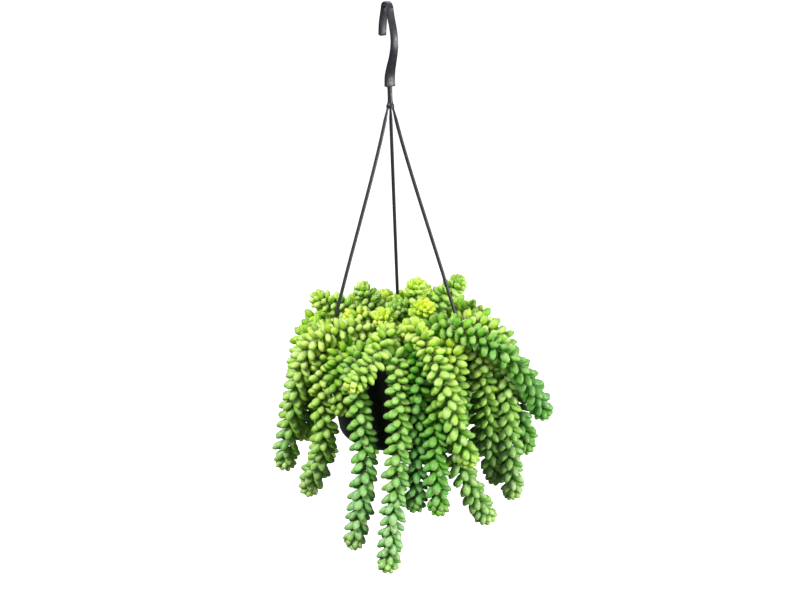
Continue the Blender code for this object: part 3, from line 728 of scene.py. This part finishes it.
def evenSteps(line, step):
    runs = np.concatenate([[0.0], np.cumsum(np.linalg.norm(np.diff(line, axis=0), axis=1))])
    count = max(4, int(round(runs[-1] / step)))
    marks = np.linspace(0.0, runs[-1], count + 1)
    return np.stack([np.interp(marks, runs, line[:, axis]) for axis in range(3)], axis=1)


def outwardOf(points):
    # how far from the pot's axis, and the level way out from it
    radius = np.hypot(points[:, 0], points[:, 1])
    return radius, points * [1.0, 1.0, 0.0] / np.maximum(radius, 1e-6)[:, None]


def offStrands(points, sizes):
    move = np.zeros_like(points)
    for angle in hanger["angles"].values():
        top, foot = strandTop(angle), strandFoot(angle)
        along = foot - top
        share = np.clip(((points - top) @ along) / (along @ along), 0.0, 1.0)
        away = points - (top + share[:, None] * along)
        far = np.linalg.norm(away, axis=1)
        lack = np.maximum(sizes + hanger["strandRadius"] - far, 0.0)
        move += away / np.maximum(far, 1e-6)[:, None] * lack[:, None]
    return move


def keepClear(points, sizes):
    # moves that hold stems off the pot, the soil and the strands
    shape = stemShape
    move = np.zeros_like(points)
    height = points[:, 2]
    radius, outward = outwardOf(points)
    below = height < rimTop + 2.0
    wallSide = potWallRadius(height) + shape["wallClear"]
    rimSide = potShape["rimRadius"] + shape["rimClear"]
    wanted = np.where(height > rimTop - shape["rimReach"], rimSide, wallSide)
    outside = radius > potShape["wallTop"] - 4.0
    move += outward * np.where(below & outside, np.maximum(wanted - radius, 0.0), 0.0)[:, None]
    over = ~below & (radius > shape["overFrom"]) & (radius < shape["overTo"])
    move[:, 2] += np.where(over, np.maximum(rimTop + shape["overRim"] - height, 0.0), 0.0)
    floor = soilTop + 1.0 + sizes
    onSoil = (radius < 68.0) & (sizes > 6.0)
    move[:, 2] += np.where(onSoil, np.maximum(floor - height, 0.0), 0.0)
    return move + offStrands(points, sizes * 0.8)


def spreadStems(lines):
    # spreads the stems until none runs through another, the pot or a strand
    shape = stemShape
    owner = np.concatenate([np.full(len(line), index) for index, line in enumerate(lines)])
    points = np.concatenate(lines)
    start = points.copy()
    steps = np.concatenate([np.arange(len(line)) for line in lines])
    bare = shape["bare"]
    runs, widths = [0.0, bare * 0.6, bare * 1.4], [4.0, 5.0, shape["spacing"] / 2]
    sizes = np.interp(steps * shape["step"], runs, widths)
    held = (steps < 2)[:, None]
    inner = np.zeros(len(points), bool)
    inner[1:-1] = (owner[:-2] == owner[1:-1]) & (owner[2:] == owner[1:-1])
    for turn in range(shape["rounds"]):
        apart = points[:, None] - points[None]
        far = np.linalg.norm(apart, axis=2)
        lack = sizes[:, None] + sizes[None] - far
        lack[owner[:, None] == owner[None]] = 0.0
        lack = np.maximum(lack, 0.0)
        move = (apart / np.maximum(far, 1e-6)[..., None] * (shape["push"] * lack)[..., None]).sum(axis=1)
        size = np.linalg.norm(move, axis=1)
        move *= np.minimum(1.0, shape["most"] / np.maximum(size, 1e-6))[:, None]
        move += shape["home"] * (start - points)
        bend = np.zeros_like(points)
        bend[1:-1] = 0.5 * (points[:-2] + points[2:]) - points[1:-1]
        move += np.where(inner[:, None], shape["ease"] * bend, 0.0)
        points = points + np.where(held, 0.0, move)
        points = points + np.where(held, 0.0, keepClear(points, sizes))
    return [points[owner == index] for index in range(len(lines))]


def layStems():
    ways = {name: hangingWay(row) for name, row in hangingStems.items()}
    ways.update({name: crownWay(row) for name, row in crownStems.items()})
    lines = spreadStems([evenSteps(softLine(way, 20), stemShape["step"]) for way in ways.values()])
    return {name: evenSteps(line, stemShape["step"]) for name, line in zip(ways, lines)}


# one plump leaf, then every leaf
leafShape = {
    "lengthTop": 13.4, "lengthLow": 16.2, "width": 9.0, "thick": 7.6, "curl": 0.12,
    "segments": 8, "rings": 7,
    # how each ring of the egg is drawn in or let out, from the stalk to the blunt end
    "girths": [0.92, 0.96, 1.0, 1.03, 1.07, 1.08],
    # how far the leaves sit apart along the stem and how wide they open, near its root and further on
    "pitchTop": 1.7, "pitchLow": 2.0, "openTop": 90.0, "openLow": 60.0, "lowFrom": 80.0, "lowRun": 120.0,
    "openSpread": 4.0, "spiral": 137.508, "bareRun": 15.0,
    # leaf sizes, how small the first leaves after the bare run are, and how long they take to full size
    "sizes": (0.9, 1.06), "firstSize": 0.62, "growRun": 30.0, "nearRun": 20.0,
    "stalk": 1.9, "stalkSides": 8, "stalkThin": 0.45, "stalkTaper": 45.0, "tipShort": 6.0,
    # how the leaves are spread: at which share of their length, how wide, and how strongly
    "spreadAt": 0.72, "apart": 7.3, "rounds": 14, "push": 0.28, "home": 0.05,
    # the young leaves at the tip: how many, the dome that they make, and the largest and the smallest
    "young": 15, "dome": 12.0, "domeFlat": 0.86, "domeBack": 9.6, "domeRun": 9.0,
    "youngLarge": 0.94, "youngSmall": 0.66,
}


stemTones = {
    # leaf colour by height over the rim, from yellow at 0 to blue-green at 1, and how waxy it is
    "heights": [-225, -140, -70, 0, 40, 75], "places": [0.86, 0.78, 0.63, 0.44, 0.29, 0.19],
    "coatHeights": [-170, -70, 10], "coats": [1.25, 0.45, 1.0], "coat": 0.08,
    # painted light: more pale coat on a leaf's upper side than below, as light from above would make it look
    "leastCoat": 0.1, "coatSpread": 0.05, "paintedUnderCoat": 0.02, "paintedTopCoat": 1.36, "mostCoat": 0.75,
    # how much yellower the young leaves at the tip are
    "hangingTip": 0.36, "crownTip": 0.04,
    # how bright a leaf is: the middle and its spread, more on its upper side as painted light, and more at
    # the tip of a stem
    "bright": (0.6, 0.14), "paintedTopLight": 1.25, "tipSide": 0.25,
    # painted light: how much brighter the leaves of these side stems are painted all over
    "paintedFill": 0.3,
    "paintedFillStems": ("stem_left", "stem_right_1", "stem_right_2", "stem_right_3", "stem_front_7"),
    # how much a leaf's end blushes, with more of it near the tip of a warm stem
    "blush": (-0.05, 0.14), "tipBlush": 0.12, "warmBlush": 0.3, "warmRun": 60, "warmShare": 0.7,
    # for some stems, how far they lean to blue-green and how waxy they are: partly their own colour and
    # partly painted light and shade, the side stems waxier to paint them paler and stem_front_4 and
    # stem_front_5 bluer with the least wax to paint the shaded middle
    "own": {
        "stem_right_5": (0.3, 0.18), "stem_front_2": (0.04, 0.42), "stem_front_1": (0.09, 0.3),
        "stem_front_3": (0.11, 0.36), "stem_front_7": (-0.07, 0.42), "stem_front_6": (-0.05, 0.42),
        "stem_left_1": (-0.02, 0.46), "stem_left_3": (-0.02, 0.5), "stem_left_2": (0.0, 0.5),
        "stem_right_2": (0.03, 0.55), "stem_right_3": (0.0, 0.4), "stem_right_1": (-0.02, 0.5),
        "stem_right_4": (0.1, 0.1), "stem_front_5": (0.12, 0.0), "stem_front_4": (0.26, 0.0),
        "crown_left": (0.16, 0.42), "crown_back_left": (0.17, 0.46), "crown_top": (0.15, 0.36),
        "crown_right": (0.22, 0.32), "crown_middle": (0.34, 0.3), "crown_front_right": (-0.02, 0.04),
        "crown_front": (-0.04, 0.2), "crown_front_left": (-0.04, 0.4), "crown_back": (-0.04, 0.34),
    },
}


def modelLeaf():
    # base at the origin, blunt end at +Y, upper face to +Z, one unit long, wide and thick
    shape = leafShape
    selectNothing()
    bpy.ops.mesh.primitive_uv_sphere_add(segments=shape["segments"], ring_count=shape["rings"], radius=0.5)
    piece = bpy.context.active_object
    editMode(piece)
    selectAll()
    bpy.ops.transform.rotate(value=math.radians(90), orient_axis="X", center_override=(0, 0, 0))
    bpy.ops.transform.translate(value=(0, 0.5, 0))
    for number, girth in enumerate(shape["girths"]):
        place = 0.5 - 0.5 * math.cos(math.pi * (number + 1) / shape["rings"])
        pick(piece, "verts", lambda vertex: abs(vertex.co.y - place) < 0.02)
        bpy.ops.transform.resize(value=(girth, 1, girth), center_override=(0, place, 0))
        bpy.ops.transform.translate(value=(0, 0, shape["curl"] * place * place))
    pick(piece, "verts", lambda vertex: vertex.co.y > 0.99)  # a hint of a point on the blunt end
    bpy.ops.transform.translate(value=(0, 0.03, shape["curl"]))
    # a flatter upper face
    pick(piece, "verts", lambda vertex: vertex.co.z > 0.2 and 0.15 < vertex.co.y < 0.9)
    bpy.ops.transform.resize(value=(1, 1, 0.86), center_override=(0, 0.5, 0.1))
    selectAll()
    bpy.ops.mesh.normals_make_consistent(inside=False)
    objectMode()
    points = np.array([vertex.co[:] for vertex in piece.data.vertices])
    faces = [tuple(polygon.vertices) for polygon in piece.data.polygons]
    bpy.data.objects.remove(piece)
    return points, faces


def turningFrames(line):
    along = unitRows(np.gradient(line, axis=0))
    across = np.zeros_like(line)
    first = np.array([1.0, 0.0, 0.0])
    across[0] = unit(first - along[0] * (first @ along[0]))
    for index in range(1, len(line)):
        across[index] = unit(across[index - 1] - along[index] * (across[index - 1] @ along[index]))
    return along, across, np.cross(along, across)


def leafPlaces(line):
    # base, stem direction, aim, size, length, nearness to the tip and run along the stem, for each leaf
    shape = leafShape
    fine = evenSteps(softLine(line, 6), 1.0)
    along, across, beside = turningFrames(fine)
    length = len(fine) - 1.0
    domeStart = length - shape["domeBack"] - shape["domeRun"] / 2
    rows = []
    run = shape["bareRun"] + chance.uniform(-2.0, 2.0)
    turn = chance.uniform(0.0, 2 * math.pi)
    while run < domeStart:
        low = np.clip((run - shape["lowFrom"]) / shape["lowRun"], 0.0, 1.0)
        near = np.clip(1.0 - (domeStart - run) / shape["nearRun"], 0.0, 1.0)
        index = int(run)
        out = math.cos(turn) * across[index] + math.sin(turn) * beside[index]
        opening = between(shape["openTop"], shape["openLow"], low)
        lean = math.radians(opening + chance.normal(0.0, shape["openSpread"]))
        size = (1 - 0.16 * near) * chance.uniform(*shape["sizes"])
        grown = shape["firstSize"] + (run - shape["bareRun"]) / shape["growRun"]
        size *= np.clip(grown, shape["firstSize"], 1.0)
        aim = unit(math.cos(lean) * along[index] + math.sin(lean) * out + chance.normal(0.0, 0.03, 3))
        base = fine[index] + (fine[index + 1] - fine[index]) * (run - index) + out * shape["stalk"] * 0.5
        long = size * between(shape["lengthTop"], shape["lengthLow"], low)
        rows.append((base, along[index], aim, size, long, 0.35 * near, run))
        turn += math.radians(shape["spiral"]) + chance.normal(0.0, 0.06)
        pitch = between(shape["pitchTop"], shape["pitchLow"], low)
        run += pitch * (1 - 0.3 * near) * chance.uniform(0.9, 1.1)
    middle = int(length - shape["domeBack"])
    for number in range(shape["young"]):
        share = (number + 0.5) / shape["young"]
        lean = math.acos(share * 1.12 - 0.12)
        out = math.cos(turn) * across[middle] + math.sin(turn) * beside[middle]
        ray = shape["domeFlat"] * math.cos(lean) * along[middle] + math.sin(lean) * out
        end = fine[middle] + ray * shape["dome"] * chance.uniform(0.94, 1.04)
        start = min(int(domeStart + shape["domeRun"] * share), len(fine) - 2)
        base = fine[start] + out * shape["stalk"] * 0.4 * (1 - share)
        size = between(shape["youngLarge"], shape["youngSmall"], share)
        long, near = np.linalg.norm(end - base), 0.4 + 0.6 * share
        rows.append((base, along[middle], unit(end - base), size, long, near, float(start)))
        turn += math.radians(shape["spiral"])
    return fine, rows


def spreadLeaves(plants):
    # nudges the leaves apart by their ends, then off strands, pot and soil, and inside the model's box
    shape = leafShape
    every = [row for fine, rows in plants.values() for row in rows]
    base, aim, size, long = (np.array([row[part] for row in every]) for part in (0, 2, 3, 4))
    reach = long
    girth = size * shape["width"]
    ends = base + aim * reach[:, None] * shape["spreadAt"]
    home = ends.copy()
    for turn in range(shape["rounds"]):
        tree = KDTree(len(ends))
        for index, place in enumerate(ends):
            tree.insert(Vector(place), index)
        tree.balance()
        move = np.zeros_like(ends)
        for index, place in enumerate(ends):
            for near, other, far in tree.find_range(Vector(place), shape["apart"]):
                wanted = shape["apart"] / shape["width"] * 0.5 * (girth[index] + girth[other])
                if other != index and far < wanted:
                    move[index] += (place - ends[other]) / max(far, 0.2) * shape["push"] * (wanted - far)
        ends += move + shape["home"] * (home - ends)
        ends += offStrands(ends, girth * 0.5 + 0.3)
        radius, outward = outwardOf(ends)
        below = (ends[:, 2] < rimTop + 3.0) & (radius > potShape["wallTop"])
        wanted = np.where(ends[:, 2] > rimTop - 8.0, potShape["rimRadius"], potWallRadius(ends[:, 2])) + 4.2
        ends += outward * np.where(below, np.maximum(wanted - radius, 0.0), 0.0)[:, None]
        inside = radius < potShape["wallTop"] - 4.0
        ends[:, 2] += np.where(inside, np.maximum(soilTop + 5.0 - ends[:, 2], 0.0), 0.0)
        margin = girth[:, None] * 0.62
        ends = np.clip(ends, lowCorner + margin, highCorner - margin)
        aim = unitRows(ends - base)
        pull = np.linalg.norm(ends - base, axis=1) / shape["spreadAt"]
        reach = np.clip(pull, 0.8 * long, 1.06 * long)
        ends = base + aim * reach[:, None] * shape["spreadAt"]
    index = 0
    for fine, rows in plants.values():
        for number, row in enumerate(rows):
            rows[number] = (*row[:2], aim[index], row[3], reach[index], *row[5:])
            index += 1
    return index


def stalkTube(fine, first):
    # a tapered tube from under the soil to the heart of the tip
    sides = leafShape["stalkSides"]
    stations = fine[: -int(leafShape["tipShort"])][::3]
    along, across, beside = turningFrames(stations)
    tube, faces = [], []
    for index, place in enumerate(stations):
        left = (len(stations) - 1 - index) * 3.0
        taper = min(1.0, leafShape["stalkThin"] + left / leafShape["stalkTaper"])
        wide = leafShape["stalk"] * taper * chance.uniform(0.94, 1.06)
        for number in range(sides):
            turn = 2 * math.pi * number / sides
            tube.append(place + wide * (math.cos(turn) * across[index] + math.sin(turn) * beside[index]))
    for index in range(len(stations) - 1):
        low, high = first + index * sides, first + (index + 1) * sides
        for number in range(sides):
            after = (number + 1) % sides
            faces.append((low + number, low + after, high + after, high + number))
    faces.append(tuple(first + number for number in reversed(range(sides))))
    faces.append(tuple(first + (len(stations) - 1) * sides + number for number in range(sides)))
    return np.array(tube), faces


def buildStem(name, plant, leafPoints, leafFaces, skin, stalkMaterial):
    shape, look = leafShape, stemTones
    fine, rows = plant
    hanging = name.startswith("stem")
    points, faces, tones, waxes = [], [], [], []
    count = len(leafPoints)
    shift, wax = look["own"].get(name, (0.0, look["coat"]))
    hue = shift + chance.uniform(-0.05, 0.05)
    warm = hanging and chance.uniform() > look["warmShare"]
    # painted light: some side stems are painted brighter
    paintedFill = look["paintedFill"] if name.startswith(look["paintedFillStems"]) else 0.0
    yellower = look["hangingTip"] if hanging else look["crownTip"]
    for base, axis, aim, size, reach, tip, run in rows:
        upper = unit(axis - aim * (axis @ aim) + 1e-6)
        side = np.cross(aim, upper)
        width = shape["width"] * size * chance.uniform(0.94, 1.05)
        thick = shape["thick"] * size * chance.uniform(0.94, 1.06)
        offset = leafPoints[:, :1] * side * width + leafPoints[:, 1:2] * aim * reach
        offset += leafPoints[:, 2:3] * upper * thick
        while (base + offset < lowCorner + 0.02).any() or (base + offset > highCorner - 0.02).any():
            offset *= 0.93  # never past the model's box
        first = len(points) * count
        points.append(base + offset)
        faces += [tuple(corner + first for corner in face) for face in leafFaces]
        height = base[2] - rimTop
        place = np.interp(height, look["heights"], look["places"]) + hue - yellower * tip
        blush = chance.normal(*look["blush"]) - look["tipBlush"] * hanging * tip
        if warm and run > len(fine) - look["warmRun"]:
            blush += look["warmBlush"]
        around = offset - np.outer(offset @ aim, aim)
        lit = 0.5 + 0.5 * unitRows(around + 1e-6)[:, 2]  # painted light: its upper side is painted paler and waxier, and its underside darker
        coat = wax * np.interp(height, look["coatHeights"], look["coats"])
        coat = coat + look["leastCoat"] + chance.normal(0.0, look["coatSpread"])
        # painted light: the coat thick on the upper side and thin below
        spread = look["paintedUnderCoat"] + look["paintedTopCoat"] * lit * lit
        waxes.append(np.clip(coat * spread, 0.0, look["mostCoat"]))
        tone = np.empty((count, 4))
        tone[:, 0] = np.clip(place, 0.0, 1.0)
        # painted light and shade: brighter on the upper side and darker below, around a random brightness
        bright = chance.normal(*look["bright"]) + look["paintedTopLight"] * (lit - 0.5) + look["tipSide"] * tip
        # painted light: the chosen side stems are painted brighter
        tone[:, 1] = np.clip(bright + paintedFill, 0.0, 1.0)
        tone[:, 2] = np.clip(leafPoints[:, 1], 0.0, 1.0)
        tone[:, 3] = np.clip(blush, 0.0, 0.6)
        tones.append(tone)
    leafCount = len(faces)
    tube, tubeFaces = stalkTube(fine, len(points) * count)
    faces += tubeFaces
    allPoints = np.vstack([*points, tube]) * mm
    words = name.split("_")
    title = words[0] + "".join(word.capitalize() for word in words[1:])
    mesh = bpy.data.meshes.new(title)
    mesh.from_pydata(allPoints.tolist(), [], faces)
    mesh.materials.append(skin)
    mesh.materials.append(stalkMaterial)
    slots = np.zeros(len(faces), np.int32)
    slots[leafCount:] = 1
    mesh.polygons.foreach_set("material_index", slots)
    # the stalk takes no leaf colour and no wax
    colour = mesh.color_attributes.new(name="leafTone", type="FLOAT_COLOR", domain="POINT")
    colour.data.foreach_set("color", np.vstack([*tones, np.zeros((len(tube), 4))]).ravel())
    bloom = mesh.attributes.new(name="waxAndPaintedLight", type="FLOAT", domain="POINT")
    bloom.data.foreach_set("value", np.concatenate([*waxes, np.zeros(len(tube))]))
    mesh.update()
    piece = addObject(title, mesh)
    selectOnly(piece)
    bpy.ops.object.shade_smooth_by_angle(angle=math.radians(80))
    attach(piece, "root")
    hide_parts(name)


# floor, light and camera
studio = {
    "floorHeight": -1.6, "floorSize": 60.0, "white": (0.86, 0.86, 0.86), "glow": 0.8,
    "sky": 0.46, "ground": 0.26, "aim": (0, 0, -0.4),
    # place, size and power of each light
    "lights": {
        "keyLight": ((-1.05, -1.2, 1.25), 0.7, 67.0), "fillLight": ((2.05, -1.05, -0.45), 1.3, 76.0),
        "rimLight": ((0.5, 1.6, 1.2), 1.2, 14.0),
    },
}
view = {"place": (0.00458, -1.5, 0.22432), "pitch": 19.515, "roll": -1.5276, "lens": 68.065}


def makeFloor():
    selectNothing()
    bpy.ops.mesh.primitive_plane_add(size=studio["floorSize"], location=(0, 0, 0))
    floor = bpy.context.active_object
    floor.name = "studioFloor"
    editMode(floor)
    selectAll()
    bpy.ops.mesh.subdivide(number_cuts=7)
    bpy.ops.transform.translate(value=(0, 0, studio["floorHeight"]))
    objectMode()
    material, tree, shader = startMaterial("white studio paper")
    brighter = tuple(part + 0.02 for part in studio["white"])
    paper = rampOf(tree, grainOf(tree, 3.0, 2.0), ((0.3, studio["white"]), (0.7, brighter)))
    tree.links.new(paper, shader.inputs["Base Color"])
    shader.inputs["Roughness"].default_value = 0.9
    shader.inputs["Specular IOR Level"].default_value = 0.1
    shader.inputs["Emission Color"].default_value = (1, 1, 1, 1)
    shader.inputs["Emission Strength"].default_value = studio["glow"]
    floor.data.materials.append(material)
    floor.visible_diffuse = False  # so that it doesn't light the leaves from below
    floor.visible_glossy = False


def addSoftbox(name, place, size, power):
    selectNothing()
    bpy.ops.object.light_add(type="AREA", location=place)
    light = bpy.context.active_object
    light.name = name
    light.data.shape = "DISK"
    light.data.size = size
    light.data.energy = power
    light.rotation_euler = (Vector(studio["aim"]) - Vector(place)).to_track_quat("-Z", "Y").to_euler()


def lightStudio():
    world = bpy.data.worlds.new("bright room")
    world.use_nodes = True
    tree = world.node_tree
    background = tree.nodes["Background"]
    ways = tree.nodes.new("ShaderNodeSeparateXYZ")
    tree.links.new(tree.nodes.new("ShaderNodeTexCoord").outputs["Generated"], ways.inputs[0])
    dark, bright = (studio["ground"],) * 3, (1.0, 1.0, 1.0)
    height = remap(tree, ways.outputs[2], -0.6, 0.7)
    tree.links.new(rampOf(tree, height, ((0.0, dark), (1.0, bright))), background.inputs[0])
    background.inputs[1].default_value = studio["sky"]
    bpy.context.scene.world = world
    for name, light in studio["lights"].items():
        addSoftbox(name, *light)
    bpy.context.scene.view_settings.view_transform = "Standard"


def placeCamera():
    selectNothing()
    bpy.ops.object.camera_add(location=view["place"])
    eye = bpy.context.active_object
    eye.name = "photoCamera"
    eye.data.sensor_width = 36.0
    eye.data.lens = view["lens"]
    eye.data.clip_start = 0.05
    pitch, roll = math.radians(view["pitch"]), math.radians(view["roll"])
    ahead = Vector((0.0, math.cos(pitch), -math.sin(pitch)))
    right = Vector((1.0, 0.0, 0.0))
    up = right.cross(ahead)
    tiltedRight = math.cos(roll) * right + math.sin(roll) * up
    tiltedUp = -math.sin(roll) * right + math.cos(roll) * up
    place = eye.matrix_world.copy()
    for column, way in enumerate((tiltedRight, tiltedUp, -ahead)):
        place.col[column].xyz = way
    eye.matrix_world = place
    bpy.context.scene.camera = eye


def report(stage):
    total = sum(len(made.data.polygons) for made in bpy.data.objects if made.type == "MESH")
    print("stage:", stage, "-", total, "faces")


placeCamera()
makeFloor()
lightStudio()
report("camera, floor and light")
makePot(mouldedPlastic("black pot plastic", potShape))
makeSoil(crumblySoil())
report("pot and soil")
strapPlastic = mouldedPlastic("black hanger plastic", hanger)
makeHook(strapPlastic)
makeNeck(strapPlastic)
for node, angle in hanger["angles"].items():
    makeStrand(node, angle, strapPlastic)
report("hanger")
plants = {name: leafPlaces(line) for name, line in layStems().items()}
print("leaves:", spreadLeaves(plants))
leafPoints, leafFaces = modelLeaf()
skin, stalkMaterial = leafSkin(), stalkSkin()
for name, plant in plants.items():
    buildStem(name, plant, leafPoints, leafFaces, skin, stalkMaterial)
report("stems and leaves")
